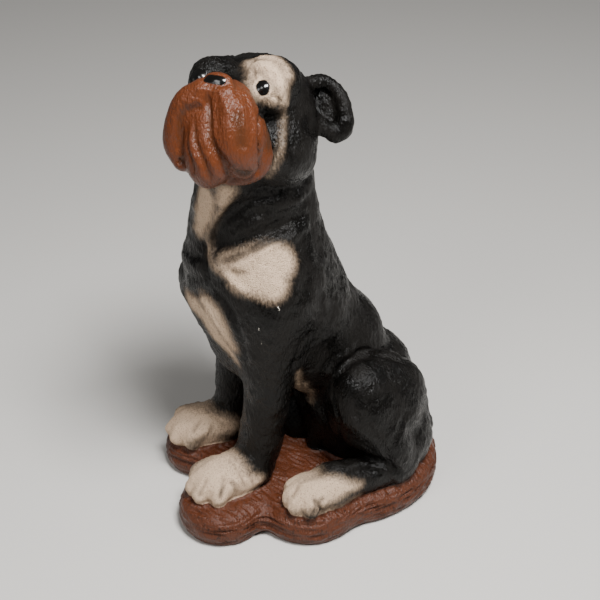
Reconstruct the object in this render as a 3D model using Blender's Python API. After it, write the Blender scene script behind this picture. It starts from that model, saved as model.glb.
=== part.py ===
# A painted concrete garden bulldog, seated on the rough slab it was cast with.
# Metres, +Z up. The dog sits facing -Y, so its left side is +X, and its head is
# turned to its left. Dog and slab are one casting, so they are one solid.
#
# The figure is built up as a modeller would do it: lumps of clay (eggs, limbs and
# rolls) are put together, their joins are smoothed over, and creases are pressed in.

import math

import bmesh
import bpy
import numpy as np
from mathutils import Euler

# Driving sizes

DOG_HEIGHT = 0.510  # from the top of the slab to the crown of the head
BASE_THICKNESS = 0.040
BASE_LENGTH = 0.331  # front to back
BASE_WIDTH = 0.281
BASE_EDGE_ROUND = 0.018  # radius along the slab's top edge
BASE_FOOT_INSET = 0.007  # how far the slab's side draws in at the floor
BASE_FOOT_HEIGHT = 0.014  # and from how high it starts to
BASE_JOIN = 0.006  # fillet where the dog meets the slab

# How finely the casting is cut into faces

CLAY_GRAIN = 0.0052  # voxel size that joins the lumps
LONGEST_STEP = 0.004  # a corner of the skin moves at most this far in one round
FACES_WANTED = 9900  # before the underside is cut flat
CUT_SPARE = 0.006  # depth of slab cut away below the floor

# The figure is drawn in millimetres for a dog 510 tall, with heights from the slab's
# top, and scaled to DOG_HEIGHT.
DRAWN_HEIGHT = 510.0
UNIT = DOG_HEIGHT / DRAWN_HEIGHT
FAR = 45  # mm off a lump, where it can't touch the others' joins any more

# Where the middle of the dog's chest stands over the slab, in the same millimetres.
DOG_PLACE = (-3.5, -3.5)

# The head is drawn straight ahead about its own middle, then turned and lifted.
HEAD_MIDDLE = (16, -48, 442)
HEAD_TURN = 44.5  # degrees to the dog's left
HEAD_LIFT = 26  # degrees, nose up


# Lumps of clay

def egg(middle, radii, turn=(0, 0, 0), blend=12):
    """An ellipsoid. turn is in degrees about X, Y and Z; blend is how far its join is smoothed."""
    spin = Euler([math.radians(angle) for angle in turn]).to_matrix()
    return {
        "middle": np.array(middle, float),
        "radii": np.array(radii, float),
        "spin": np.array(spin),
        "reach": float(max(radii)),
        "blend": float(blend),
    }


def limb(points, radii, blend=12, steps=4):
    """A round limb or roll through points, its radius running smoothly from one to the next."""
    path, girth = smooth_path(points, radii, steps)
    middle = (path.min(axis=0) + path.max(axis=0)) / 2
    return {
        "path": path,
        "girth": girth,
        "middle": middle,
        "reach": float((np.linalg.norm(path - middle, axis=1) + girth).max()),
        "blend": float(blend),
    }


def smooth_path(points, radii, steps):
    """Points of a Catmull-Rom curve through points, with radii to match."""
    knots = np.column_stack([np.array(points, float), np.array(radii, float)])
    knots = np.vstack([2 * knots[0] - knots[1], knots, 2 * knots[-1] - knots[-2]])
    curve = []
    for before, start, end, after in zip(knots, knots[1:], knots[2:], knots[3:]):
        for t in np.arange(steps) / steps:
            curve.append(0.5 * (
                2 * start
                + (end - before) * t
                + (2 * before - 5 * start + 4 * end - after) * t ** 2
                + (3 * start - before - 3 * end + after) * t ** 3
            ))
    curve.append(knots[-2])
    curve = np.array(curve)
    return curve[:, :3], curve[:, 3]


def mirrored(form):
    """The same lump on the dog's other side."""
    flip = np.array([-1.0, 1.0, 1.0])
    twin = dict(form, middle=form["middle"] * flip)
    if "path" in form:
        twin["path"] = form["path"] * flip
    else:
        twin["spin"] = np.diag(flip) @ form["spin"] @ np.diag(flip)
    return twin


def pair(form):
    return [form, mirrored(form)]


def moved(form, spin, place):
    """A lump turned by the matrix spin and carried to place."""
    carried = dict(form, middle=spin @ form["middle"] + place)
    if "path" in form:
        carried["path"] = form["path"] @ spin.T + place
    else:
        carried["spin"] = spin @ form["spin"]
    return carried


# Distances

def nearest_on_path(points, path):
    """For each point: the distance to a path, and where along it (in path steps) that is."""
    best = np.full(len(points), np.inf)
    along = np.zeros(len(points))
    for index, (start, end) in enumerate(zip(path, path[1:])):
        run = end - start
        share = np.clip((points - start) @ run / max(run @ run, 1e-9), 0, 1)
        gap = np.linalg.norm(points - start - share[:, None] * run, axis=1)
        closer = gap < best
        best[closer] = gap[closer]
        along[closer] = index + share[closer]
    return best, along


def distance_to(form, points):
    """Signed distance from points to one lump, negative inside it."""
    if "path" in form:
        best = np.full(len(points), np.inf)
        path, girth = form["path"], form["girth"]
        for start, end, thick, thin in zip(path, path[1:], girth, girth[1:]):
            run = end - start
            share = np.clip((points - start) @ run / max(run @ run, 1e-9), 0, 1)
            gap = np.linalg.norm(points - start - share[:, None] * run, axis=1)
            best = np.minimum(best, gap - thick - (thin - thick) * share)
        return best
    local = (points - form["middle"]) @ form["spin"]
    scaled = np.linalg.norm(local / form["radii"], axis=1)
    slope = np.linalg.norm(local / form["radii"] ** 2, axis=1)
    return scaled * (scaled - 1) / np.maximum(slope, 1e-6)


def smooth_union(first, second, blend):
    """The nearer of two distances, with a fillet where they meet."""
    overlap = np.maximum(blend - np.abs(first - second), 0) / blend
    return np.minimum(first, second) - overlap ** 2 * blend / 4


def clay_distance(forms, points):
    """Signed distance to all the lumps together, joins smoothed."""
    total = np.full(len(points), 1e3)
    for form in forms:
        near = np.linalg.norm(points - form["middle"], axis=1) < form["reach"] + FAR
        if near.any():
            total[near] = smooth_union(total[near], distance_to(form, points[near]), form["blend"])
    return total


# The parts of the dog, each a list of lumps

def torso():
    return [
        egg((0, -38, 226), (78, 80, 90), blend=1),
        egg((0, -10, 186), (70, 73, 86), blend=26),
        egg((0, 39, 135), (58, 66.5, 67), blend=26),
        egg((2, 98, 90), (40, 37, 35), blend=20),
        egg((0, 76, 58), (74, 66, 72), blend=26),
        *pair(egg((44, 90, 52), (48, 56, 52), blend=20)),
        egg((-4, -60, 154), (38, 32, 34), blend=24),
        egg((0, 58, 50), (60, 50, 60), blend=20),
        egg((0, 70, 20), (74, 50, 58), blend=14),
        egg((-22, 12, 14), (25, 22, 28), blend=8),
        limb([(26, 24, 66), (21, 23, 32), (17, 21, 2)], [13, 11, 12], blend=6),
        limb([(14, 128, 56), (24, 144, 32), (36, 150, 8)], [16, 14, 13], blend=8),
        *pair(egg((56, -46, 252), (34, 46, 64), blend=22)),
        *pair(egg((64, 98, 26), (44, 44, 38), blend=14)),
        egg((-34, -83, 230), (34, 39, 31), blend=10),
    ]


def neck():
    """The column of the neck, the throat under the jaw, and the folds of loose skin round it."""
    return [
        limb([(0, -41, 275), (0, -41, 320), (4, -42, 360), (12, -46, 400)], [70, 63, 57, 55], blend=24),
        limb([(60, -92, 420), (44, -88, 388), (18, -88, 350), (-4, -88, 310), (-12, -86, 268),
              (-14, -82, 226)],
             [22, 25, 27, 28, 30, 37], blend=16),
        limb([(10, -94, 372), (-4, -90, 345), (-16, -86, 315), (-26, -84, 285)], [14, 16, 19, 24], blend=14),
        limb([(-42, -91, 275), (-19, -105, 268), (4, -107, 272)], [16, 15, 12], blend=8),
        limb([(20, -104, 276), (40, -92, 288), (57, -70, 304), (62, -42, 316), (54, -16, 322)],
             [11, 13, 14, 13, 8], blend=8),
        limb([(22, -98, 318), (46, -80, 334), (58, -52, 348), (54, -22, 356)], [9, 11, 11, 8], blend=12),
    ]


def paw(ankle, heading, length=86, width=62, height=40):
    """A broad paw with four toes. ankle is above its heel; heading is degrees from straight ahead."""
    side_of_toe = (-0.35, -0.12, 0.13, 0.36)
    reach_of_toe = (0.86, 1.0, 0.99, 0.82)
    forms = [
        egg((0, -0.36 * length, 0.38 * height), (0.46 * width, 0.52 * length, 0.60 * height), blend=14),
        egg((0, -0.60 * length, 0.30 * height), (0.43 * width, 0.31 * length, 0.48 * height), blend=8),
    ]
    for side, reach in zip(side_of_toe, reach_of_toe):
        x, tip = side * width, -reach * length
        knuckle = (x * 0.92, tip * 0.60, 0.54 * height)
        pad = (x * 1.04, tip + 10, 0.24 * height)
        forms.append(limb(
            [knuckle, (x, tip * 0.80, 0.42 * height), pad],
            [0.15 * width, 0.165 * width, 0.155 * width], blend=4))
    angle = math.radians(heading)
    spin = np.array([
        [math.cos(angle), -math.sin(angle), 0],
        [math.sin(angle), math.cos(angle), 0],
        [0, 0, 1],
    ])
    return [moved(form, spin, np.array([ankle[0], ankle[1], 0])) for form in forms]


def front_legs():
    left = limb(
        [(58, -46, 240), (58, -52, 200), (54, -53, 160), (50, -53, 120), (45, -56, 80), (41, -60, 44),
         (43, -70, 20)],
        [35, 30, 27.5, 26, 25, 25, 24], blend=18)
    right = limb(
        [(-58, -44, 240), (-57, -50, 200), (-55, -52, 160), (-53, -54, 120), (-51, -57, 80),
         (-49, -60, 44), (-49, -68, 20)],
        [35, 30, 25, 23, 22, 22, 23], blend=18)
    return [left, right, *paw((44, -66), 8), *paw((-50, -56), -5)]


def hind_leg():
    """The left one: thigh, knee, shank and the long foot that lies flat."""
    return [
        egg((72, 70, 88), (46, 58, 60), turn=(-22, 0, 0), blend=10),
        egg((88, 44, 116), (30, 31, 38), blend=18),
        limb([(96, 44, 96), (104, 72, 50), (103, 88, 24)], [28, 25, 20], blend=12),
        limb([(103, 88, 14), (106, 44, 16), (109, 6, 20)], [18, 20, 22], blend=8),
        *paw((108, 12), 5, length=72, width=56, height=36),
    ]


def hind_legs():
    left = hind_leg()
    return left + [mirrored(form) for form in left]


def skull():
    return [
        egg((0, 6, 0), (57, 60, 55), blend=20),
        egg((27, -34, 30), (28, 30, 23), blend=12),
        egg((-25, -36, 24), (27, 28, 20), blend=12),
        *pair(egg((36, 0, -36), (31, 46, 36), blend=14)),
        *pair(egg((33, -49, 18), (19, 22, 21), blend=8)),
        *pair(egg((33, -65, 19), (8, 8, 8), blend=1)),
    ]


def muzzle():
    """Broad and drooping: chin between two flews, each with a rolled lip outside it."""
    return [
        egg((0, -64, 0), (30, 36, 25), blend=10),
        egg((0, -66, -34), (34, 34, 42), blend=12),
        egg((0, -86, -32), (29, 27, 50), blend=8),
        egg((0, -90, 8), (24, 20, 14), blend=9),
        limb([(12, -100, 6), (22, -102, -8), (26, -100, -28), (30, -92, -44), (33, -80, -56)],
             [12, 15, 16, 15, 11], blend=6),
        limb([(-12, -102, 6), (-26, -99, -6), (-35, -92, -28), (-37, -86, -46), (-29, -82, -60)],
             [12, 14, 14, 13, 11], blend=7),
        limb([(25, -88, 4), (31, -86, -10), (35, -84, -28), (34, -78, -46)], [9, 12, 14, 12], blend=8),
        limb([(-24, -86, 4), (-31, -82, -10), (-35, -78, -30), (-34, -74, -48)], [9, 12, 13, 11], blend=8),
        limb([(34, -66, -8), (37, -66, -20), (39, -62, -38), (37, -58, -54), (28, -64, -65), (16, -68, -70)],
             [6, 10, 12, 11, 8, 6], blend=4),
        limb([(-34, -66, -8), (-37, -66, -20), (-39, -62, -38), (-37, -58, -54), (-28, -64, -65)],
             [6, 10, 12, 11, 8], blend=4),
        egg((2, -101, 19), (14, 9, 7), turn=(28, 0, 0), blend=2),
    ]


def ear():
    """The left one, a rose ear: a thick rim folded back round a deep hollow."""
    return [
        limb([(38, 38, 32), (48, 47, 38), (61, 54, 32), (72, 58, 14), (74, 59, -2), (67, 58, -12)],
             [9, 7, 7, 8.5, 9.5, 8.5], blend=5),
        limb([(64, 54, -11), (54, 46, -6), (44, 39, 0)], [8.5, 9, 10], blend=6),
        egg((54, 57, 12), (21, 6, 24), turn=(0, 12, 22), blend=5),
    ]


def head_spin():
    """Turns the head's own left, back and up to where the dog holds them."""
    turn, lift = math.radians(HEAD_TURN), math.radians(HEAD_LIFT)
    ahead = np.array([math.sin(turn) * math.cos(lift), -math.cos(turn) * math.cos(lift), math.sin(lift)])
    left = np.array([math.cos(turn), math.sin(turn), 0.0])
    return np.column_stack([left, -ahead, np.cross(left, -ahead)])


def head():
    lumps = skull() + muzzle()
    for form in ear():
        lumps += pair(form)
    return [moved(form, head_spin(), np.array(HEAD_MIDDLE, float)) for form in lumps]


# Folds and creases: strokes pressed into the clay, and rolls laid on it

def crease(width, depth, points):
    """A stroke along points, in mm. A minus depth lays a roll on instead."""
    path, girth = smooth_path(points, [width] * len(points), 4)
    middle = (path.min(axis=0) + path.max(axis=0)) / 2
    reach = np.linalg.norm(path - middle, axis=1).max() + 2.5 * width
    return {"path": path, "girth": girth, "depth": depth, "middle": middle, "reach": reach}


def pressed_depth(marks, points):
    """How deep the creases press in at points, in mm."""
    depth = np.zeros(len(points))
    for mark in marks:
        near = np.linalg.norm(points - mark["middle"], axis=1) < mark["reach"]
        if near.any():
            gap, along = nearest_on_path(points[near], mark["path"])
            last = len(mark["path"]) - 1
            # a stroke starts and ends at a quarter of its depth
            fade = np.clip(5 * np.minimum(along, last - along) / last + 0.25, 0, 1)
            depth[near] += mark["depth"] * np.exp(-(gap / mark["girth"][0]) ** 2) * fade
    return depth


def head_creases():
    """Width and depth, then the path in the head's own mm: left, back and up."""
    return [
        crease(3.5, -1.8, [(28, -93, 13), (36, -95, 1), (42, -95, -13), (45, -95, -29)]),
        crease(7, 2.5, [(30, -114, -3), (36, -113, -17), (39, -109, -30), (40, -106, -41)]),
        crease(2.2, 4.0, [(31, -69, 2), (44, -89, -10), (48, -90, -28), (47, -80, -46),
            (41, -67, -59)]),  # cheek crease
        crease(4.0, 6.0, [(29, -93, -61), (36, -90, -62), (42, -82, -62)]),  # corner of the mouth
        crease(3.0, 3.0, [(-21, -112, -9), (-27, -108, -23), (-27, -102, -36), (-26, -97, -49),
            (-22, -94, -63)]),  # right flew crease
        crease(4.0, 6.0, [(-29, -94, -60), (-25, -93, -63)]),  # right corner of the mouth
        crease(3.5, -1.8, [(-13, -110, -30), (-9, -111, -48), (0, -108, -61), (3, -99, -76)]),
        crease(3.5, -1.8, [(2, -113, -32), (6, -111, -45), (13, -106, -58), (17, -88, -73)]),
        crease(7, 3.5, [(35, -64, 1), (43, -64, -11), (49, -65, -25), (50, -66, -40)]),
        crease(4.5, -3.0, [(53, -51, 20), (50, -48, 9), (44, -34, -3), (47, -37, -18), (52, -39, -33),
            (50, -39, -47), (40, -31, -63)]),  # cheek ridge
        crease(4.5, 5.0, [(19, -15, -79), (32, -7, -75), (47, 8, -72), (53, 26, -66), (50, 57, -55)]),
        crease(3.0, 3.0, [(-18, -24, 47), (-6, -45, 39), (3, -53, 31)]),  # furrow
    ]


def body_creases():
    return [
        crease(4.0, -4.5, [(67, -91, 378), (53, -98, 360), (38, -103, 337), (30, -106, 314),
            (30, -106, 294), (44, -105, 287), (57, -95, 278), (73, -86, 269), (83, -77, 258)]),
        crease(6.5, 7.0, [(59, -81, 363), (51, -89, 348), (43, -99, 329), (33, -102, 309)]),
        crease(6.0, 5.5, [(43, -97, 321), (57, -84, 339), (65, -68, 349), (69, -48, 352)]),
        crease(5.0, -3.0, [(56, -78, 352), (60, -66, 357), (65, -51, 360), (64, -31, 362)]),  # neck fold
        crease(4.0, 3.0, [(67, -62, 342), (68, -44, 346), (61, -21, 347), (43, 2, 347)]),
        crease(4.0, 3.0, [(21, -109, 304), (28, -111, 285), (31, -110, 263)]),  # right chest valley
        crease(4.0, 4.0, [(3, -120, 277), (18, -113, 287)]),  # chest notch
        crease(4.0, 2.0, [(-10, -122, 231), (16, -117, 241), (37, -108, 254)]),
        crease(4.0, 4.5, [(42, -105, 258), (58, -98, 241), (66, -92, 222), (66, -86, 196),
            (61, -82, 171)]),  # leg and chest crease
        crease(4.5, 5.0, [(45, -103, 293), (58, -92, 301), (68, -76, 312), (71, -56, 322),
            (70, -31, 326)]),  # collar underside
        crease(7.0, 2.0, [(69, -22, 316), (76, -16, 290), (87, -23, 265), (95, -37, 249)]),
        crease(6.0, -2.5, [(67, -1, 283), (71, 4, 249), (72, 6, 218)]),  # scapula ridge
        crease(4.0, 4.0, [(76, -34, 158), (80, -31, 178), (83, -26, 195), (81, -16, 204)]),  # armpit
        crease(5.5, -4.0, [(58, 13, 125), (63, 21, 145), (61, 35, 155), (54, 58, 154), (35, 95, 135)]),
        crease(4.5, 4.5, [(72, 16, 126), (72, 24, 141), (70, 39, 149), (65, 63, 148), (75, 85, 146),
            (86, 103, 135)]),  # over the thigh
        crease(4.0, 2.5, [(59, 41, 154), (52, 66, 148), (35, 103, 125), (70, 103, 138)]),
        crease(4.0, 4.0, [(70, 16, 123), (87, 11, 109), (95, 14, 86), (65, 36, 31)]),
        crease(5.0, 4.0, [(111, 22, 114), (122, 32, 101), (125, 46, 80)]),  # thigh crease a
        crease(5.0, 4.5, [(125, 46, 80), (127, 57, 57), (123, 69, 26)]),  # thigh crease b
        crease(4.5, 3.2, [(114, 91, 101), (119, 79, 86), (128, 65, 68)]),  # thigh crease c
        crease(10.0, 3.5, [(115, 31, 75), (118, 47, 51), (119, 59, 33)]),  # thigh hollow
        crease(4.5, -4.5, [(118, 13, 40), (111, 33, 37), (117, 53, 32), (123, 70, 19), (118, 86, -3)]),
        crease(3.6, 4.0, [(107, 17, 41), (99, 39, 36), (118, 53, 40), (124, 77, 22)]),
        crease(3.2, 3.5, [(124, 12, 36), (119, 30, 35), (122, 51, 27)]),  # under the hock roll
        crease(3.5, -2.0, [(-10, 4, 60), (16, 3, 72), (28, 8, 72)]),  # belly flap edge
    ]


def creases():
    on_head = [moved(mark, head_spin(), np.array(HEAD_MIDDLE, float)) for mark in head_creases()]
    return on_head + body_creases()


def dog():
    return torso() + neck() + front_legs() + hind_legs() + head()


# The slab

def slab_lobes():
    """Round lobes that make the slab's outline: middle and radii, as shares of its width and length."""
    return [
        ((-0.027, 0.255), (0.441, 0.248)),
        ((0.265, -0.065), (0.235, 0.187)),
        ((-0.318, -0.023), (0.192, 0.181)),
        ((0.190, -0.349), (0.185, 0.151)),
        ((-0.222, -0.304), (0.160, 0.136)),
        ((-0.020, -0.144), (0.313, 0.218)),
        ((0.294, 0.140), (0.164, 0.175)),
    ]


def slab_outline(points):
    """Signed distance to the slab's plan outline, in metres."""
    across = np.array([BASE_WIDTH, BASE_LENGTH])
    outline = np.full(len(points), 1.0)
    for middle, radii in slab_lobes():
        local = points[:, :2] - np.array(middle) * across
        size = np.array(radii) * across
        scaled = np.linalg.norm(local / size, axis=1)
        slope = np.linalg.norm(local / size ** 2, axis=1)
        lobe = scaled * (scaled - 1) / np.maximum(slope, 1e-6)
        outline = smooth_union(outline, lobe, 0.06 * BASE_LENGTH)
    return outline


def slab_distance(points):
    """Signed distance to the slab, in metres. It has CUT_SPARE below the floor, to be cut off flat."""
    undercut = BASE_FOOT_INSET * np.clip(1 - points[:, 2] / BASE_FOOT_HEIGHT, 0, 1) ** 2
    side = slab_outline(points) + undercut + BASE_EDGE_ROUND
    top = points[:, 2] - BASE_THICKNESS + BASE_EDGE_ROUND
    outside = np.hypot(np.maximum(side, 0), np.maximum(top, 0))
    rounded = outside + np.minimum(np.maximum(side, top), 0) - BASE_EDGE_ROUND
    return np.maximum(rounded, -CUT_SPARE - points[:, 2])


def dog_place():
    """Where the drawing's own origin stands, in metres."""
    return np.array([DOG_PLACE[0] * UNIT, DOG_PLACE[1] * UNIT, BASE_THICKNESS])


def statue_distance(points, forms, marks):
    """Signed distance to the whole casting with its creases, in metres."""
    drawn = (points - dog_place()) / UNIT
    figure = (clay_distance(forms, drawn) + pressed_depth(marks, drawn)) * UNIT
    return smooth_union(figure, slab_distance(points), BASE_JOIN)


# Turning the clay into one skin

def unit_shape(maker, **settings):
    """Corners and faces of one plain primitive of radius 1."""
    shape = bmesh.new()
    maker(shape, **settings)
    corners = np.array([vertex.co[:] for vertex in shape.verts])
    faces = [[vertex.index for vertex in face.verts] for face in shape.faces]
    shape.free()
    return corners, faces


def rough_lumps(forms):
    """All lumps and slab lobes as plain closed meshes in one object, ready to be joined."""
    ball = unit_shape(bmesh.ops.create_icosphere, subdivisions=3, radius=1.0)
    disc = unit_shape(
        bmesh.ops.create_cone, cap_ends=True, segments=48, radius1=1.0, radius2=1.0, depth=2.0)
    corners, faces = [], []

    def add(shape, spread, place):
        first = sum(len(group) for group in corners)
        corners.append(shape[0] @ spread.T + place)
        faces.extend([[first + index for index in face] for face in shape[1]])

    lift = dog_place()
    for form in forms:
        if "path" in form:
            for point, girth in zip(form["path"], form["girth"]):
                add(ball, np.eye(3) * girth * UNIT, point * UNIT + lift)
        else:
            add(ball, form["spin"] @ np.diag(form["radii"]) * UNIT, form["middle"] * UNIT + lift)
    for middle, radii in slab_lobes():
        spread = np.diag([radii[0] * BASE_WIDTH, radii[1] * BASE_LENGTH, (BASE_THICKNESS + CUT_SPARE) / 2])
        place = [middle[0] * BASE_WIDTH, middle[1] * BASE_LENGTH, (BASE_THICKNESS - CUT_SPARE) / 2]
        add(disc, spread, np.array(place))
    mesh = bpy.data.meshes.new("bulldog_statue")
    mesh.from_pydata(np.vstack(corners), [], faces)
    statue = bpy.data.objects.new("bulldog_statue", mesh)
    bpy.context.scene.collection.objects.link(statue)
    return statue


def apply_modifiers(thing):
    """Keeps the mesh as its modifiers leave it."""
    evaluated = thing.evaluated_get(bpy.context.evaluated_depsgraph_get())
    result = bpy.data.meshes.new_from_object(evaluated)
    old = thing.data
    thing.modifiers.clear()
    thing.data = result
    bpy.data.meshes.remove(old)
    result.name = thing.name


def join_clay(thing, grain):
    remesh = thing.modifiers.new("join the clay", "REMESH")
    remesh.mode = "VOXEL"
    remesh.voxel_size = grain
    apply_modifiers(thing)
    fill_air_pockets(thing)


def fill_air_pockets(thing):
    """Keeps only the outer skin, and drops the skins of pockets sealed between lumps."""
    skin = bmesh.new()
    skin.from_mesh(thing.data)
    waiting = set(skin.verts)
    pieces = []
    while waiting:
        piece = [waiting.pop()]
        for vertex in piece:
            for edge in vertex.link_edges:
                other = edge.other_vert(vertex)
                if other in waiting:
                    waiting.remove(other)
                    piece.append(other)
        pieces.append(piece)
    outer = max(pieces, key=len)
    for piece in pieces:
        if piece is not outer:
            bmesh.ops.delete(skin, geom=piece, context="VERTS")
    skin.to_mesh(thing.data)
    skin.free()


def settle(thing, forms, marks, rounds):
    """Moves the skin onto the smoothed clay, and evens out its faces as it goes."""
    mesh = thing.data
    count = len(mesh.vertices)
    places = np.empty(count * 3)
    mesh.vertices.foreach_get("co", places)
    places = places.reshape(-1, 3)
    edges = np.empty(len(mesh.edges) * 2, int)
    mesh.edges.foreach_get("vertices", edges)
    ends = np.concatenate([edges[::2], edges[1::2]])
    others = np.concatenate([edges[1::2], edges[::2]])
    neighbours = np.maximum(np.bincount(ends, minlength=count), 1)
    normals = np.empty(count * 3)
    for turn in range(rounds):
        mesh.vertices.foreach_set("co", places.ravel())
        mesh.update()
        mesh.vertex_normals.foreach_get("vector", normals)
        facing = normals.reshape(-1, 3)
        if turn < rounds - 1:
            average = np.column_stack([
                np.bincount(ends, weights=places[others, axis], minlength=count) for axis in range(3)
            ]) / neighbours[:, None]
            slide = average - places
            places += 0.5 * (slide - facing * np.sum(slide * facing, axis=1)[:, None])
        step = np.clip(statue_distance(places, forms, marks), -LONGEST_STEP, LONGEST_STEP)
        places -= 0.9 * facing * step[:, None]
    mesh.vertices.foreach_set("co", places.ravel())
    mesh.update()


def cut_underside_flat(thing):
    """Cuts the slab off at the floor and closes it with one flat face, then makes triangles."""
    skin = bmesh.new()
    skin.from_mesh(thing.data)
    everything = skin.verts[:] + skin.edges[:] + skin.faces[:]
    bmesh.ops.bisect_plane(skin, geom=everything, plane_co=(0, 0, 0), plane_no=(0, 0, -1), clear_outer=True)
    rim = [edge for edge in skin.edges if edge.is_boundary]
    bmesh.ops.edgeloop_fill(skin, edges=rim)
    bmesh.ops.triangulate(skin, faces=skin.faces[:])
    bmesh.ops.recalc_face_normals(skin, faces=skin.faces[:])
    skin.to_mesh(thing.data)
    skin.free()


def stand_over_origin(thing):
    """Puts the middle of the footprint at the origin, with the underside on the floor."""
    corners = np.array([vertex.co[:] for vertex in thing.data.vertices])
    middle = (corners.min(axis=0) + corners.max(axis=0)) / 2
    for vertex in thing.data.vertices:
        vertex.co.x -= middle[0]
        vertex.co.y -= middle[1]


def painted_concrete():
    """Black masonry paint with a dull gloss, the colour that covers most of the casting."""
    material = bpy.data.materials.new("painted_concrete")
    material.use_nodes = True
    shader = material.node_tree.nodes["Principled BSDF"]
    shader.inputs["Base Color"].default_value = (0.012, 0.011, 0.010, 1.0)
    shader.inputs["Roughness"].default_value = 0.4
    shader.inputs["Metallic"].default_value = 0.0
    return material


def build():
    for old in list(bpy.data.objects):
        bpy.data.objects.remove(old, do_unlink=True)
    forms = dog()
    statue = rough_lumps(forms)
    join_clay(statue, CLAY_GRAIN)
    settle(statue, forms, [], 8)
    join_clay(statue, CLAY_GRAIN)
    settle(statue, forms, creases(), 5)
    thin = statue.modifiers.new("fewer faces", "DECIMATE")
    thin.use_collapse_triangulate = True
    thin.ratio = FACES_WANTED / (2 * len(statue.data.polygons))
    apply_modifiers(statue)
    cut_underside_flat(statue)
    stand_over_origin(statue)
    statue.data.materials.append(painted_concrete())
    statue.data.shade_smooth()
    return statue


build()
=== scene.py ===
# The looks of a painted concrete garden bulldog, built round its packed casting.
# The casting is shaped again here from the same lumps of clay, finely enough for folds,
# creases and fur, then painted: gloss black, sprayed cream, red-brown muzzle and slab.

import math

import bmesh
import bpy
import numpy as np
from mathutils import Euler, Matrix, Vector


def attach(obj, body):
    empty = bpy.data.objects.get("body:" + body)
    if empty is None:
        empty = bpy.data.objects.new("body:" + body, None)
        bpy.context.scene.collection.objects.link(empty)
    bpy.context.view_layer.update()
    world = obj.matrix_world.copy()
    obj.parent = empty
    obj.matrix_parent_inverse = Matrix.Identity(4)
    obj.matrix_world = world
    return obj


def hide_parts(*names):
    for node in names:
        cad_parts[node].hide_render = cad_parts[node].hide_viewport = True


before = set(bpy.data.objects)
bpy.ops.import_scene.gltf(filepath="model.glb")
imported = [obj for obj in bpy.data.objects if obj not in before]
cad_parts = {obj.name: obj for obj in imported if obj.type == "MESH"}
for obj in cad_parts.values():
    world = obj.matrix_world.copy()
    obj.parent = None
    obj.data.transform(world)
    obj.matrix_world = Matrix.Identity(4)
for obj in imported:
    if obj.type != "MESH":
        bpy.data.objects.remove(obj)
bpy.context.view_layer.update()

# The figure is drawn in mm for a dog 510 tall, with heights from the slab's top
dogForm = {
    "height": 0.510,
    "drawnHeight": 510.0,
    "place": (-3.5, -3.5),  # middle of the chest over the slab
    "headMiddle": (16, -48, 442),
    "headTurn": 44.5,  # degrees to its left
    "headLift": 26,  # degrees, nose up
    "far": 45,  # off a lump, where it can't touch the others' joins any more
}
unit = dogForm["height"] / dogForm["drawnHeight"]

slab = {
    "length": 0.331,
    "width": 0.281,
    "thickness": 0.040,
    "edgeRound": 0.018,
    "footInset": 0.007,  # how far the side draws in at the floor
    "footHeight": 0.014,
    "join": 0.006,  # fillet where the dog meets it
    "cutSpare": 0.006,  # depth below the floor, cut off flat
}


# Lumps of clay

# An ellipsoid. turn is in degrees about X, Y and Z; blend is how far its join is smoothed.
def egg(middle, radii, turn=(0, 0, 0), blend=12):
    spin = Euler([math.radians(angle) for angle in turn]).to_matrix()
    return {
        "middle": np.array(middle, float),
        "radii": np.array(radii, float),
        "spin": np.array(spin),
        "reach": float(max(radii)),
        "blend": float(blend),
    }


# A round limb or roll through points, its radius running smoothly from one to the next.
def limb(points, radii, blend=12, steps=4):
    path, girth = smoothPath(points, radii, steps)
    middle = (path.min(axis=0) + path.max(axis=0)) / 2
    return {
        "path": path,
        "girth": girth,
        "middle": middle,
        "reach": float((np.linalg.norm(path - middle, axis=1) + girth).max()),
        "blend": float(blend),
    }


# Points of a Catmull-Rom curve through points, with radii to match.
def smoothPath(points, radii, steps):
    knots = np.column_stack([np.array(points, float), np.array(radii, float)])
    knots = np.vstack([2 * knots[0] - knots[1], knots, 2 * knots[-1] - knots[-2]])
    curve = []
    for before, start, end, after in zip(knots, knots[1:], knots[2:], knots[3:]):
        for t in np.arange(steps) / steps:
            curve.append(0.5 * (
                2 * start
                + (end - before) * t
                + (2 * before - 5 * start + 4 * end - after) * t ** 2
                + (3 * start - before - 3 * end + after) * t ** 3
            ))
    curve.append(knots[-2])
    curve = np.array(curve)
    return curve[:, :3], curve[:, 3]


# The same lump on the dog's other side.
def mirrored(form):
    flip = np.array([-1.0, 1.0, 1.0])
    twin = dict(form, middle=form["middle"] * flip)
    if "path" in form:
        twin["path"] = form["path"] * flip
    else:
        twin["spin"] = np.diag(flip) @ form["spin"] @ np.diag(flip)
    return twin


def pair(form):
    return [form, mirrored(form)]


# A lump turned by the matrix spin and carried to place.
def moved(form, spin, place):
    carried = dict(form, middle=spin @ form["middle"] + place)
    if "path" in form:
        carried["path"] = form["path"] @ spin.T + place
    else:
        carried["spin"] = spin @ form["spin"]
    return carried


# Distances

# For each point: the distance to a path, and where along it (in path steps) that is.
def nearestOnPath(points, path):
    best = np.full(len(points), np.inf)
    along = np.zeros(len(points))
    for index, (start, end) in enumerate(zip(path, path[1:])):
        run = end - start
        share = np.clip((points - start) @ run / max(run @ run, 1e-9), 0, 1)
        gap = np.linalg.norm(points - start - share[:, None] * run, axis=1)
        closer = gap < best
        best[closer] = gap[closer]
        along[closer] = index + share[closer]
    return best, along


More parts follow.
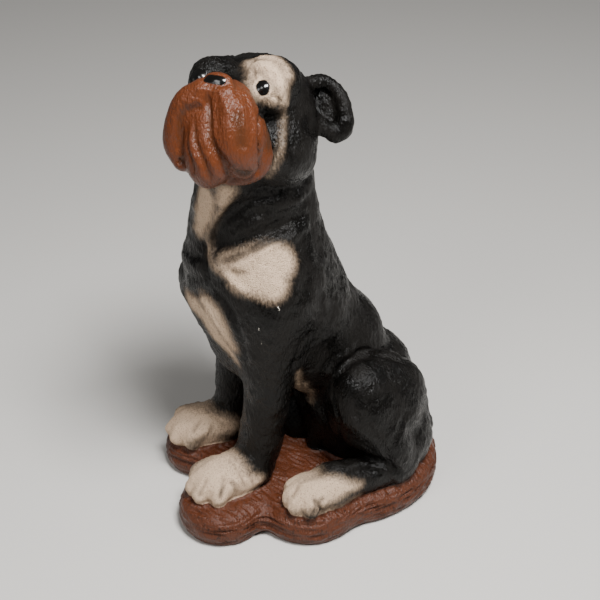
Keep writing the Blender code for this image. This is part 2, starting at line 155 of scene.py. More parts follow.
# Signed distance from points to one lump, negative inside it.
def distanceTo(form, points):
    if "path" in form:
        best = np.full(len(points), np.inf)
        path, girth = form["path"], form["girth"]
        for start, end, thick, thin in zip(path, path[1:], girth, girth[1:]):
            run = end - start
            share = np.clip((points - start) @ run / max(run @ run, 1e-9), 0, 1)
            gap = np.linalg.norm(points - start - share[:, None] * run, axis=1)
            best = np.minimum(best, gap - thick - (thin - thick) * share)
        return best
    local = (points - form["middle"]) @ form["spin"]
    scaled = np.linalg.norm(local / form["radii"], axis=1)
    slope = np.linalg.norm(local / form["radii"] ** 2, axis=1)
    return scaled * (scaled - 1) / np.maximum(slope, 1e-6)


# The nearer of two distances, with a fillet where they meet.
def smoothUnion(first, second, blend):
    overlap = np.maximum(blend - np.abs(first - second), 0) / blend
    return np.minimum(first, second) - overlap ** 2 * blend / 4


# Signed distance to all the lumps together, joins smoothed.
def clayDistance(forms, points):
    total = np.full(len(points), 1e3)
    for form in forms:
        near = np.linalg.norm(points - form["middle"], axis=1) < form["reach"] + dogForm["far"]
        if near.any():
            total[near] = smoothUnion(total[near], distanceTo(form, points[near]), form["blend"])
    return total


# The parts of the dog, each a list of lumps

def torso():
    return [
        egg((0, -38, 226), (78, 80, 90), blend=1),
        egg((0, -10, 186), (70, 73, 86), blend=26),
        egg((0, 39, 135), (58, 66.5, 67), blend=26),
        egg((2, 98, 90), (40, 37, 35), blend=20),
        egg((0, 76, 58), (74, 66, 72), blend=26),
        *pair(egg((44, 90, 52), (48, 56, 52), blend=20)),
        egg((-4, -60, 154), (38, 32, 34), blend=24),
        egg((0, 58, 50), (60, 50, 60), blend=20),
        egg((0, 70, 20), (74, 50, 58), blend=14),
        egg((-22, 12, 14), (25, 22, 28), blend=8),
        limb([(26, 24, 66), (21, 23, 32), (17, 21, 2)], [13, 11, 12], blend=6),
        limb([(14, 128, 56), (24, 144, 32), (36, 150, 8)], [16, 14, 13], blend=8),
        *pair(egg((56, -46, 252), (34, 46, 64), blend=22)),
        *pair(egg((64, 98, 26), (44, 44, 38), blend=14)),
        egg((-34, -83, 230), (34, 39, 31), blend=10),
    ]


# The column of the neck, the throat under the jaw, and the folds of loose skin round it.
def neck():
    return [
        limb([(0, -41, 275), (0, -41, 320), (4, -42, 360), (12, -46, 400)], [70, 63, 57, 55], blend=24),
        limb([(60, -92, 420), (44, -88, 388), (18, -88, 350), (-4, -88, 310), (-12, -86, 268),
              (-14, -82, 226)],
             [22, 25, 27, 28, 30, 37], blend=16),
        limb([(10, -94, 372), (-4, -90, 345), (-16, -86, 315), (-26, -84, 285)], [14, 16, 19, 24], blend=14),
        limb([(-42, -91, 275), (-19, -105, 268), (4, -107, 272)], [16, 15, 12], blend=8),
        limb([(20, -104, 276), (40, -92, 288), (57, -70, 304), (62, -42, 316), (54, -16, 322)],
             [11, 13, 14, 13, 8], blend=8),
        limb([(22, -98, 318), (46, -80, 334), (58, -52, 348), (54, -22, 356)], [9, 11, 11, 8], blend=12),
    ]


# A broad paw with four toes. ankle is above its heel; heading is degrees from straight ahead.
def paw(ankle, heading, length=86, width=62, height=40):
    sideOfToe = (-0.35, -0.12, 0.13, 0.36)
    reachOfToe = (0.86, 1.0, 0.99, 0.82)
    forms = [
        egg((0, -0.36 * length, 0.38 * height), (0.46 * width, 0.52 * length, 0.60 * height), blend=14),
        egg((0, -0.60 * length, 0.30 * height), (0.43 * width, 0.31 * length, 0.48 * height), blend=8),
    ]
    for side, reach in zip(sideOfToe, reachOfToe):
        x, tip = side * width, -reach * length
        knuckle = (x * 0.92, tip * 0.60, 0.54 * height)
        pad = (x * 1.04, tip + 10, 0.24 * height)
        forms.append(limb(
            [knuckle, (x, tip * 0.80, 0.42 * height), pad],
            [0.15 * width, 0.165 * width, 0.155 * width], blend=4))
    angle = math.radians(heading)
    spin = np.array([
        [math.cos(angle), -math.sin(angle), 0],
        [math.sin(angle), math.cos(angle), 0],
        [0, 0, 1],
    ])
    return [moved(form, spin, np.array([ankle[0], ankle[1], 0])) for form in forms]


def frontLegs():
    left = limb(
        [(58, -46, 240), (58, -52, 200), (54, -53, 160), (50, -53, 120), (45, -56, 80), (41, -60, 44),
         (43, -70, 20)],
        [35, 30, 27.5, 26, 25, 25, 24], blend=18)
    right = limb(
        [(-58, -44, 240), (-57, -50, 200), (-55, -52, 160), (-53, -54, 120), (-51, -57, 80),
         (-49, -60, 44), (-49, -68, 20)],
        [35, 30, 25, 23, 22, 22, 23], blend=18)
    return [left, right, *paw((44, -66), 8), *paw((-50, -56), -5)]


# The left one: thigh, knee, shank and the long foot that lies flat.
def hindLeg():
    return [
        egg((72, 70, 88), (46, 58, 60), turn=(-22, 0, 0), blend=10),
        egg((88, 44, 116), (30, 31, 38), blend=18),
        limb([(96, 44, 96), (104, 72, 50), (103, 88, 24)], [28, 25, 20], blend=12),
        limb([(103, 88, 14), (106, 44, 16), (109, 6, 20)], [18, 20, 22], blend=8),
        *paw((108, 12), 5, length=72, width=56, height=36),
    ]


def hindLegs():
    left = hindLeg()
    return left + [mirrored(form) for form in left]


def skull():
    return [
        egg((0, 6, 0), (57, 60, 55), blend=20),
        egg((27, -34, 30), (28, 30, 23), blend=12),
        egg((-25, -36, 24), (27, 28, 20), blend=12),
        *pair(egg((36, 0, -36), (31, 46, 36), blend=14)),
        *pair(egg((33, -49, 18), (19, 22, 21), blend=8)),
        *pair(egg((33, -65, 19), (8, 8, 8), blend=1)),
    ]


# Broad and drooping: chin between two flews, each with a rolled lip outside it.
def muzzle():
    return [
        egg((0, -64, 0), (30, 36, 25), blend=10),
        egg((0, -66, -34), (34, 34, 42), blend=12),
        egg((0, -86, -32), (29, 27, 50), blend=8),
        egg((0, -90, 8), (24, 20, 14), blend=9),
        limb([(12, -100, 6), (22, -102, -8), (26, -100, -28), (30, -92, -44), (33, -80, -56)],
             [12, 15, 16, 15, 11], blend=6),
        limb([(-12, -102, 6), (-26, -99, -6), (-35, -92, -28), (-37, -86, -46), (-29, -82, -60)],
             [12, 14, 14, 13, 11], blend=7),
        limb([(25, -88, 4), (31, -86, -10), (35, -84, -28), (34, -78, -46)], [9, 12, 14, 12], blend=8),
        limb([(-24, -86, 4), (-31, -82, -10), (-35, -78, -30), (-34, -74, -48)], [9, 12, 13, 11], blend=8),
        limb([(34, -66, -8), (37, -66, -20), (39, -62, -38), (37, -58, -54), (28, -64, -65), (16, -68, -70)],
             [6, 10, 12, 11, 8, 6], blend=4),
        limb([(-34, -66, -8), (-37, -66, -20), (-39, -62, -38), (-37, -58, -54), (-28, -64, -65)],
             [6, 10, 12, 11, 8], blend=4),
        egg((2, -101, 19), (14, 9, 7), turn=(28, 0, 0), blend=2),
    ]


# The left one, a rose ear: a thick rim folded back round a deep hollow.
def ear():
    return [
        limb([(38, 38, 32), (48, 47, 38), (61, 54, 32), (72, 58, 14), (74, 59, -2), (67, 58, -12)],
             [9, 7, 7, 8.5, 9.5, 8.5], blend=5),
        limb([(64, 54, -11), (54, 46, -6), (44, 39, 0)], [8.5, 9, 10], blend=6),
        egg((54, 57, 12), (21, 6, 24), turn=(0, 12, 22), blend=5),
    ]


# Turns the head's own left, back and up to where the dog holds them.
def headSpin():
    turn, lift = math.radians(dogForm["headTurn"]), math.radians(dogForm["headLift"])
    ahead = np.array([math.sin(turn) * math.cos(lift), -math.cos(turn) * math.cos(lift), math.sin(lift)])
    left = np.array([math.cos(turn), math.sin(turn), 0.0])
    return np.column_stack([left, -ahead, np.cross(left, -ahead)])


# Carries a lump or stroke drawn on the head to where the head is held.
def onHead(form):
    return moved(form, headSpin(), np.array(dogForm["headMiddle"], float))


def head():
    lumps = skull() + muzzle()
    for form in ear():
        lumps += pair(form)
    return [onHead(form) for form in lumps]


# Folds and creases: strokes pressed into the clay, and rolls laid on it

# A stroke along points, in mm. A minus depth lays a roll on instead.
def crease(width, depth, points):
    path, girth = smoothPath(points, [width] * len(points), 4)
    middle = (path.min(axis=0) + path.max(axis=0)) / 2
    reach = np.linalg.norm(path - middle, axis=1).max() + 2.5 * width
    return {"path": path, "girth": girth, "depth": depth, "middle": middle, "reach": reach}


# How deep the creases press in at points, in mm.
def pressedDepth(marks, points):
    depth = np.zeros(len(points))
    for mark in marks:
        near = np.linalg.norm(points - mark["middle"], axis=1) < mark["reach"]
        if near.any():
            gap, along = nearestOnPath(points[near], mark["path"])
            last = len(mark["path"]) - 1
            # a stroke starts and ends at a quarter of its depth
            fade = np.clip(5 * np.minimum(along, last - along) / last + 0.25, 0, 1)
            depth[near] += mark["depth"] * np.exp(-(gap / mark["girth"][0]) ** 2) * fade
    return depth


# Creases were traced over the photograph and laid onto the clay, to the nearest mm.
# Width and depth, then the path in the head's own mm: left, back and up.
def headCreases():
    return [
        crease(3.5, -1.8, [(28, -93, 13), (36, -95, 1), (42, -95, -13), (45, -95, -29)]),
        crease(7, 2.5, [(30, -114, -3), (36, -113, -17), (39, -109, -30), (40, -106, -41)]),
        crease(2.2, 4.0, [(31, -69, 2), (44, -89, -10), (48, -90, -28), (47, -80, -46),
            (41, -67, -59)]),  # cheek crease
        crease(4.0, 6.0, [(29, -93, -61), (36, -90, -62), (42, -82, -62)]),  # corner of the mouth
        crease(3.0, 3.0, [(-21, -112, -9), (-27, -108, -23), (-27, -102, -36), (-26, -97, -49),
            (-22, -94, -63)]),  # right flew crease
        crease(4.0, 6.0, [(-29, -94, -60), (-25, -93, -63)]),  # right corner of the mouth
        crease(3.5, -1.8, [(-13, -110, -30), (-9, -111, -48), (0, -108, -61), (3, -99, -76)]),
        crease(3.5, -1.8, [(2, -113, -32), (6, -111, -45), (13, -106, -58), (17, -88, -73)]),
        crease(7, 3.5, [(35, -64, 1), (43, -64, -11), (49, -65, -25), (50, -66, -40)]),
        crease(4.5, -3.0, [(53, -51, 20), (50, -48, 9), (44, -34, -3), (47, -37, -18), (52, -39, -33),
            (50, -39, -47), (40, -31, -63)]),  # cheek ridge
        crease(4.5, 5.0, [(19, -15, -79), (32, -7, -75), (47, 8, -72), (53, 26, -66), (50, 57, -55)]),
        crease(3.0, 3.0, [(-18, -24, 47), (-6, -45, 39), (3, -53, 31)]),  # furrow
    ]


def bodyCreases():
    return [
        crease(4.0, -4.5, [(67, -91, 378), (53, -98, 360), (38, -103, 337), (30, -106, 314),
            (30, -106, 294), (44, -105, 287), (57, -95, 278), (73, -86, 269), (83, -77, 258)]),
        crease(6.5, 7.0, [(59, -81, 363), (51, -89, 348), (43, -99, 329), (33, -102, 309)]),
        crease(6.0, 5.5, [(43, -97, 321), (57, -84, 339), (65, -68, 349), (69, -48, 352)]),
        crease(5.0, -3.0, [(56, -78, 352), (60, -66, 357), (65, -51, 360), (64, -31, 362)]),  # neck fold
        crease(4.0, 3.0, [(67, -62, 342), (68, -44, 346), (61, -21, 347), (43, 2, 347)]),
        crease(4.0, 3.0, [(21, -109, 304), (28, -111, 285), (31, -110, 263)]),  # right chest valley
        crease(4.0, 4.0, [(3, -120, 277), (18, -113, 287)]),  # chest notch
        crease(4.0, 2.0, [(-10, -122, 231), (16, -117, 241), (37, -108, 254)]),
        crease(4.0, 4.5, [(42, -105, 258), (58, -98, 241), (66, -92, 222), (66, -86, 196),
            (61, -82, 171)]),  # leg and chest crease
        crease(4.5, 5.0, [(45, -103, 293), (58, -92, 301), (68, -76, 312), (71, -56, 322),
            (70, -31, 326)]),  # collar underside
        crease(7.0, 2.0, [(69, -22, 316), (76, -16, 290), (87, -23, 265), (95, -37, 249)]),
        crease(6.0, -2.5, [(67, -1, 283), (71, 4, 249), (72, 6, 218)]),  # scapula ridge
        crease(4.0, 4.0, [(76, -34, 158), (80, -31, 178), (83, -26, 195), (81, -16, 204)]),  # armpit
        crease(5.5, -4.0, [(58, 13, 125), (63, 21, 145), (61, 35, 155), (54, 58, 154), (35, 95, 135)]),
        crease(4.5, 4.5, [(72, 16, 126), (72, 24, 141), (70, 39, 149), (65, 63, 148), (75, 85, 146),
            (86, 103, 135)]),  # over the thigh
        crease(4.0, 2.5, [(59, 41, 154), (52, 66, 148), (35, 103, 125), (70, 103, 138)]),
        crease(4.0, 4.0, [(70, 16, 123), (87, 11, 109), (95, 14, 86), (65, 36, 31)]),
        crease(5.0, 4.0, [(111, 22, 114), (122, 32, 101), (125, 46, 80)]),  # thigh crease a
        crease(5.0, 4.5, [(125, 46, 80), (127, 57, 57), (123, 69, 26)]),  # thigh crease b
        crease(4.5, 3.2, [(114, 91, 101), (119, 79, 86), (128, 65, 68)]),  # thigh crease c
        crease(10.0, 3.5, [(115, 31, 75), (118, 47, 51), (119, 59, 33)]),  # thigh hollow
        crease(4.5, -4.5, [(118, 13, 40), (111, 33, 37), (117, 53, 32), (123, 70, 19), (118, 86, -3)]),
        crease(3.6, 4.0, [(107, 17, 41), (99, 39, 36), (118, 53, 40), (124, 77, 22)]),
        crease(3.2, 3.5, [(124, 12, 36), (119, 30, 35), (122, 51, 27)]),  # under the hock roll
        crease(3.5, -2.0, [(-10, 4, 60), (16, 3, 72), (28, 8, 72)]),  # belly flap edge
    ]


def creases():
    return [onHead(mark) for mark in headCreases()] + bodyCreases()


def dog():
    return torso() + neck() + frontLegs() + hindLegs() + head()


# The slab

# Round lobes that make the slab's outline: middle and radii, as shares of its width and length.
def slabLobes():
    return [
        ((-0.027, 0.255), (0.441, 0.248)),
        ((0.265, -0.065), (0.235, 0.187)),
        ((-0.318, -0.023), (0.192, 0.181)),
        ((0.190, -0.349), (0.185, 0.151)),
        ((-0.222, -0.304), (0.160, 0.136)),
        ((-0.020, -0.144), (0.313, 0.218)),
        ((0.294, 0.140), (0.164, 0.175)),
    ]


# Signed distance to the slab's plan outline, in metres.
def slabOutline(points):
    across = np.array([slab["width"], slab["length"]])
    outline = np.full(len(points), 1.0)
    for middle, radii in slabLobes():
        local = points[:, :2] - np.array(middle) * across
        size = np.array(radii) * across
        scaled = np.linalg.norm(local / size, axis=1)
        slope = np.linalg.norm(local / size ** 2, axis=1)
        lobe = scaled * (scaled - 1) / np.maximum(slope, 1e-6)
        outline = smoothUnion(outline, lobe, 0.06 * slab["length"])
    return outline


# Signed distance to the slab, in metres. It has slab["cutSpare"] below the floor, to be cut off flat.
def slabDistance(points):
    undercut = slab["footInset"] * np.clip(1 - points[:, 2] / slab["footHeight"], 0, 1) ** 2
    side = slabOutline(points) + undercut + slab["edgeRound"]
    top = points[:, 2] - slab["thickness"] + slab["edgeRound"]
    outside = np.hypot(np.maximum(side, 0), np.maximum(top, 0))
    rounded = outside + np.minimum(np.maximum(side, top), 0) - slab["edgeRound"]
    return np.maximum(rounded, -slab["cutSpare"] - points[:, 2])


# Where the drawing's own origin stands, in metres.
def dogPlace():
    return np.array([dogForm["place"][0] * unit, dogForm["place"][1] * unit, slab["thickness"]])


# Metres to the figure's own mm
def drawnPoints(places):
    return (places - dogPlace()) / unit


# Signed distance to the whole casting with its creases, in metres.
def statueDistance(points, forms, marks):
    drawn = drawnPoints(points)
    figure = (clayDistance(forms, drawn) + pressedDepth(marks, drawn)) * unit
    return smoothUnion(figure, slabDistance(points), slab["join"])


# Turning the clay into one fine skin

skin = {
    "firstGrain": 0.0045,  # voxel that joins the lumps
    "fineGrain": 0.0020,
    "faces": 190000,
    "seed": 7,
    "lump": (26, 0.4),  # mm across and mm high, unevenness of the hand-made mould
    "hairClump": (4.5, 0.26),
    "topGrain": (9, 1.6),  # ripples left by the modeller's brush on the slab's top
    "sideGroove": (8, 1.7),  # bark-like grooves round its side
    "brushTurn": 35,  # degrees, the way those ripples run
    "smoothMuzzle": 0.8,  # share of the unevenness that the muzzle is free of
    "topStarts": 0.72,  # share of the slab's thickness where its side gives way to its top
    "joinWidth": 3,  # mm, where the dog's fur gives way to the slab's grooves
    "glossRim": 1.5,  # mm round eyes and nose that stay smooth
    "plainFoot": 0.002,  # lowest part of the slab's side, left plain
    "longestStep": 0.004,  # a corner of the skin moves at most this far in one round
}
edgeReach = 15.0  # mm, how far off a coat's edge still counts


def unitShape(maker, **settings):
    shape = bmesh.new()
    maker(shape, **settings)
    corners = np.array([vertex.co[:] for vertex in shape.verts])
    faces = [[vertex.index for vertex in face.verts] for face in shape.faces]
    shape.free()
    return corners, faces


# All lumps and slab lobes as plain closed meshes in one object, ready to be joined
def roughLumps(forms):
    ball = unitShape(bmesh.ops.create_icosphere, subdivisions=3, radius=1.0)
    disc = unitShape(
        bmesh.ops.create_cone, cap_ends=True, segments=48, radius1=1.0, radius2=1.0, depth=2.0)
    corners, faces = [], []

    def add(shape, spread, place):
        first = sum(len(group) for group in corners)
        corners.append(shape[0] @ spread.T + place)
        faces.extend([[first + index for index in face] for face in shape[1]])

    lift = dogPlace()
    for form in forms:
        if "path" in form:
            for point, girth in zip(form["path"], form["girth"]):
                add(ball, np.eye(3) * girth * unit, point * unit + lift)
        else:
            add(ball, form["spin"] @ np.diag(form["radii"]) * unit, form["middle"] * unit + lift)
    depth = slab["thickness"] + slab["cutSpare"]
    for middle, radii in slabLobes():
        spread = np.diag([radii[0] * slab["width"], radii[1] * slab["length"], depth / 2])
        place = [middle[0] * slab["width"], middle[1] * slab["length"], depth / 2 - slab["cutSpare"]]
        add(disc, spread, np.array(place))
    mesh = bpy.data.meshes.new("paintedBulldog")
    mesh.from_pydata(np.vstack(corners), [], faces)
    thing = bpy.data.objects.new("paintedBulldog", mesh)
    bpy.context.scene.collection.objects.link(thing)
    return thing


# The corners of a mesh, in metres
def cornersOf(mesh):
    places = np.empty(len(mesh.vertices) * 3)
    mesh.vertices.foreach_get("co", places)
    return places.reshape(-1, 3)


# Which way the skin faces at each corner
def facingOf(mesh):
    normals = np.empty(len(mesh.vertices) * 3)
    mesh.vertex_normals.foreach_get("vector", normals)
    return normals.reshape(-1, 3)


def applyModifiers(thing):
    evaluated = thing.evaluated_get(bpy.context.evaluated_depsgraph_get())
    result = bpy.data.meshes.new_from_object(evaluated)
    old = thing.data
    thing.modifiers.clear()
    thing.data = result
    bpy.data.meshes.remove(old)
    result.name = thing.name


def joinClay(thing, grain):
    remesh = thing.modifiers.new("join the clay", "REMESH")
    remesh.mode = "VOXEL"
    remesh.voxel_size = grain
    applyModifiers(thing)
    fillAirPockets(thing)


# Keeps only the outer skin, and drops the skins of pockets sealed between lumps
def fillAirPockets(thing):
    shape = bmesh.new()
    shape.from_mesh(thing.data)
    waiting = set(shape.verts)
    parts = []
    while waiting:
        part = [waiting.pop()]
        for vertex in part:
            for edge in vertex.link_edges:
                other = edge.other_vert(vertex)
                if other in waiting:
                    waiting.remove(other)
                    part.append(other)
        parts.append(part)
    outer = max(parts, key=len)
    for part in parts:
        if part is not outer:
            bmesh.ops.delete(shape, geom=part, context="VERTS")
    shape.to_mesh(thing.data)
    shape.free()


# Even noise of about -1 to 1: a sum of waves with a set length in random directions
def waves(points, length, stretch, seed):
    random = np.random.default_rng(seed)
    total = np.zeros(len(points))
    count = 18  # waves enough to hide any one of them
    for _ in range(count):
        way = random.normal(size=3)
        way *= 2 * math.pi / length * random.uniform(0.75, 1.3) / np.linalg.norm(way)
        total += np.sin((points / np.array(stretch)) @ way + random.uniform(0, 2 * math.pi))
    return total / math.sqrt(count / 2)


# How far the worked surface stands in or out of the smooth clay, in mm
def toolMarks(places, onSlab):
    points = drawnPoints(places)
    lump, high = skin["lump"]
    marksOnDog = high * waves(points, lump, (1, 1, 1), skin["seed"])
    clump, high = skin["hairClump"]
    marksOnDog += high * waves(points, clump, (1, 1, 2.6), skin["seed"] + 1)
    marksOnDog *= 1 - skin["smoothMuzzle"] * np.clip(muzzleEdge(points) / 4 + 0.5, 0, 1)
    groove, high = skin["sideGroove"]
    ridged = np.abs(waves(points, groove, (5, 5, 1), skin["seed"] + 2))
    side = -high * ridged
    ripple, high = skin["topGrain"]
    turned = points @ np.array(Euler((0, 0, math.radians(skin["brushTurn"]))).to_matrix())
    top = high * (0.3 - np.abs(waves(turned, ripple, (5, 1, 5), skin["seed"] + 3)))
    topShare = np.clip((places[:, 2] / slab["thickness"] - skin["topStarts"]) / 0.2, 0, 1)
    marksOnSlab = side + (top - side) * topShare
    return marksOnDog + (marksOnSlab - marksOnDog) * onSlab


# Works the surface once the skin has settled: fur clumps on the dog, grooves on the slab
def workSurface(thing, forms):
    places, facing = cornersOf(thing.data), facingOf(thing.data)
    points = drawnPoints(places)
    pastJoin = clayDistance(forms, points) - slabDistance(places) / unit
    onSlab = np.clip(pastJoin / skin["joinWidth"], 0, 1)
    rough = 1 - np.clip(sprayEdge(glossForms, points) + skin["glossRim"], 0, 1)
    above = np.clip((places[:, 2] - skin["plainFoot"]) / (2 * skin["plainFoot"]), 0, 1)
    places += facing * (toolMarks(places, onSlab) * rough * above * unit)[:, None]
    thing.data.vertices.foreach_set("co", places.ravel())
    thing.data.update()


# Moves the skin onto the smoothed clay with its creases, and evens its faces as it goes
def settle(thing, forms, marks, rounds):
    mesh = thing.data
    count = len(mesh.vertices)
    places = cornersOf(mesh)
    edges = np.empty(len(mesh.edges) * 2, int)
    mesh.edges.foreach_get("vertices", edges)
    ends = np.concatenate([edges[::2], edges[1::2]])
    others = np.concatenate([edges[1::2], edges[::2]])
    neighbours = np.maximum(np.bincount(ends, minlength=count), 1)
    step = skin["longestStep"]
    for turn in range(rounds):
        mesh.vertices.foreach_set("co", places.ravel())
        mesh.update()
        facing = facingOf(mesh)
        if turn < rounds - 1:
            average = np.column_stack([
                np.bincount(ends, weights=places[others, axis], minlength=count) for axis in range(3)
            ]) / neighbours[:, None]
            slide = average - places
            places += 0.5 * (slide - facing * np.sum(slide * facing, axis=1)[:, None])
        gap = np.clip(statueDistance(places, forms, marks), -step, step)
        places -= facing * gap[:, None] * 0.9
    mesh.vertices.foreach_set("co", places.ravel())
    mesh.update()


def cutUndersideFlat(thing):
    shape = bmesh.new()
    shape.from_mesh(thing.data)
    everything = shape.verts[:] + shape.edges[:] + shape.faces[:]
    bmesh.ops.bisect_plane(
        shape, geom=everything, plane_co=(0, 0, 0), plane_no=(0, 0, -1), clear_outer=True)
    rim = [edge for edge in shape.edges if edge.is_boundary]
    bmesh.ops.edgeloop_fill(shape, edges=rim)
    bmesh.ops.triangulate(shape, faces=shape.faces[:])
    bmesh.ops.recalc_face_normals(shape, faces=shape.faces[:])
    shape.to_mesh(thing.data)
    shape.free()


# Finer creases, traced in the same way: width and depth in mm, then the path, in the head's own
# mm for those on the head
fineHeadCreases = [
    (2.8, 2.6, [(-3, -112, 5), (0, -109, -4), (5, -111, -18), (8, -112, -32), (14, -109, -43),
        (24, -102, -54), (32, -96, -60)]),  # cleft under the nose
    (3.2, -1.8, [(4, -111, 2), (8, -111, -12), (12, -112, -26), (18, -111, -37), (28, -108, -48)]),
    (2.6, -1.4, [(10, -112, 8), (17, -115, 0), (24, -117, -10)]),  # flew fold
    (2.0, 1.8, [(-19, -107, -29), (-16, -108, -44), (-8, -108, -57), (-6, -100, -73)]),  # pleat a
    (2.2, 2.4, [(-11, -110, -20), (-6, -112, -39), (2, -111, -52), (8, -105, -64), (10, -95, -76)]),
    (2.6, 1.8, [(10, -111, -37), (16, -108, -47), (21, -100, -57), (19, -74, -71)]),  # pleat c
    (2.0, -1.6, [(-21, -111, -11), (-17, -113, -5), (-11, -112, -2), (-5, -110, -5)]),  # chin arc
    (1.8, 1.4, [(-20, -108, -16), (-14, -109, -10), (-3, -110, -11)]),  # chin arc hollow
    (3.0, -1.6, [(-18, -114, 5), (-7, -113, 9), (7, -111, 10), (18, -109, 12), (18, -94, 19)]),
    (1.8, 1.6, [(-8, -112, 12), (5, -111, 11), (15, -106, 16)]),  # crease over the nose roll
    (2.0, 1.8, [(-8, -61, 27), (11, -90, 22), (22, -104, 13), (29, -107, 6)]),  # nose side crease
    (3.0, -1.6, [(8, -68, 24), (18, -71, 21), (25, -76, 13)]),  # top of the bib
    (2.2, -2.0, [(34, -70, 10), (29, -72, 13), (25, -71, 19), (27, -69, 26), (32, -68, 30),
        (39, -68, 27), (42, -68, 20), (40, -69, 13), (34, -70, 10)]),  # eye rim
    (2.2, 1.8, [(20, -69, 21), (20, -65, 30), (29, -65, 35), (38, -64, 34), (45, -65, 26)]),  # eye groove
    (3.0, -2.2, [(15, -65, 24), (16, -61, 34), (26, -62, 40), (38, -61, 39), (46, -61, 30)]),  # brow arc
    (3.2, 2.2, [(6, -55, 32), (9, -50, 43), (23, -53, 48), (37, -53, 46), (49, -53, 35)]),
    (1.6, 2.6, [(40, -69, 14), (46, -64, 13), (50, -54, 10)]),  # eye crack
    (2.0, 1.4, [(-34, -65, 33), (-29, -69, 26)]),  # right brow pleat a
    (2.0, 1.4, [(-27, -60, 38), (-20, -65, 29)]),  # right brow pleat b
    (2.0, 1.4, [(-20, -52, 40), (-12, -60, 30)]),  # right brow pleat c
    (3.0, 2.0, [(44, 31, 34), (45, 48, 19), (56, 38, 2)]),  # ear root fold
]

fineBodyCreases = [
    (2.8, 2.9, [(66, -113, 33), (78, -118, 27), (84, -125, 14)]),  # left toe crease a
    (2.8, 2.9, [(74, -109, 30), (80, -103, 22), (76, -102, 0)]),  # left toe crease b
    (2.6, 2.5, [(62, -131, 30), (68, -139, 23), (71, -144, 12)]),  # left toe crease c
    (2.0, 1.8, [(49, -103, 39), (61, -98, 37), (73, -94, 27), (74, -90, 7)]),  # wrist wrinkle a
    (2.0, 1.8, [(47, -97, 40), (60, -90, 38), (72, -84, 27), (73, -80, 10)]),  # wrist wrinkle b
    (2.2, 2.2, [(38, -90, 42), (49, -87, 44), (58, -82, 42)]),  # wrist ring
    (2.0, 1.8, [(-53, -96, 39), (-38, -92, 37), (-28, -84, 31), (-23, -78, 24)]),  # right wrist wrinkle a
    (2.0, 1.8, [(-55, -90, 41), (-39, -86, 40), (-30, -79, 36)]),  # right wrist wrinkle b
    (2.6, 2.6, [(-39, -104, 34), (-33, -113, 29), (-28, -120, 24)]),  # right toe crease a
    (2.6, 2.6, [(-29, -93, 30), (-24, -97, 24), (-24, -101, 17)]),  # right toe crease b
    (2.8, 2.9, [(132, -32, 26), (140, -32, 20), (141, -38, 10)]),  # hind toe crease a
    (2.8, 2.9, [(135, -20, 26), (139, -28, 22), (135, -24, 3)]),  # hind toe crease b
    (2.6, 2.5, [(111, -40, 30), (114, -47, 26), (118, -53, 21)]),  # hind toe crease c
]

allCreases = creases()
allCreases += [onHead(crease(*stroke)) for stroke in fineHeadCreases]
allCreases += [crease(*stroke) for stroke in fineBodyCreases]


# Paint

# The muzzle's paint reaches back to this depth from the head's middle (mm), by the angle round
# the face: 0 is straight up, 90 the dog's left, 180 straight down
muzzlePaint = {
    "middle": (0, -24),  # across and up, in the head's own frame
    "edge": [(0, -80), (30, -78), (42, -80), (55, -76), (70, -69), (90, -62), (115, -54), (135, -45),
             (160, -55), (180, -62)],
    "around": (0, -70, -20),  # middle of the muzzle
    "within": 95,  # and how far from it the paint can be
}

# Places sprayed cream, traced too: a path with the spray's radius in mm at each point
headSprays = [
    [(19, -58, 42, 11), (36, -62, 38, 12), (47, -62, 26, 10), (50, -58, 15, 6.5),
     (47, -40, 5, 4)],  # brow and temple
    [(3, -41, 43, 6), (14, -59, 36, 7), (21, -66, 27, 5)],  # by the furrow
    [(25, -68, 27, 10), (36, -72, 18, 12), (44, -66, 13, 9)],  # round the eye
    [(17, -47, 49, 8), (36, -54, 46, 9), (48, -53, 36, 7)],  # crown
    [(47, -40, 5, 3), (45, -35, -8, 0.8), (49, -39, -23, 0.6), (50, -41, -38, 1.2),
     (46, -39, -52, 1.4), (37, -31, -63, 0.8)],  # cheek stripe
]

bodySprays = [
    [(40, -113, 370, 16), (30, -112, 345, 14), (17, -113, 318, 10)],  # throat
    [(67, -99, 383, 11), (55, -101, 364, 8)],  # left of the throat
    [(52, -99, 358, 4), (37, -104, 337, 5), (29, -107, 314, 4), (30, -106, 294, 4),
     (44, -105, 286, 4), (56, -95, 278, 5)],  # throat ridge paint
    [(52, -99, 296, 10), (67, -83, 300, 14), (78, -61, 301, 21), (80, -51, 299, 20)],  # shoulder patch
    [(56, -95, 285, 9), (66, -89, 277, 12), (78, -76, 281, 15),
     (86, -60, 278, 18)],  # under the shoulder patch
    [(-3, -122, 224, 11), (23, -115, 219, 13), (34, -107, 201, 12), (38, -95, 181, 10),
     (43, -86, 164, 6)],  # lower chest
    [(23, -115, 238, 8), (37, -109, 230, 12), (46, -102, 211, 11),
     (48, -92, 187, 8)],  # right of the lower chest
    [(70, -140, 19, 20), (78, -119, 26, 24), (77, -94, 17, 18), (73, -75, 16, 8)],  # left paw
    [(-41, -133, 20, 18), (-34, -107, 31, 19), (-28, -92, 29, 16), (-23, -73, 25, 12)],  # right paw
    [(120, -52, 21, 18), (128, -32, 28, 21), (131, -11, 29, 17), (132, 7, 27, 10),
     (129, 26, 21, 4)],  # hind paw
    [(68, -24, 150, 2.2), (53, -18, 125, 3.2), (26, -5, 91, 3)],  # belly tuft
    [(49, -8, 117, 2), (31, -1, 92, 2.6)],  # belly tuft b
    [(41, 2, 101, 2), (28, 7, 76, 2.2)],  # belly tuft c
]

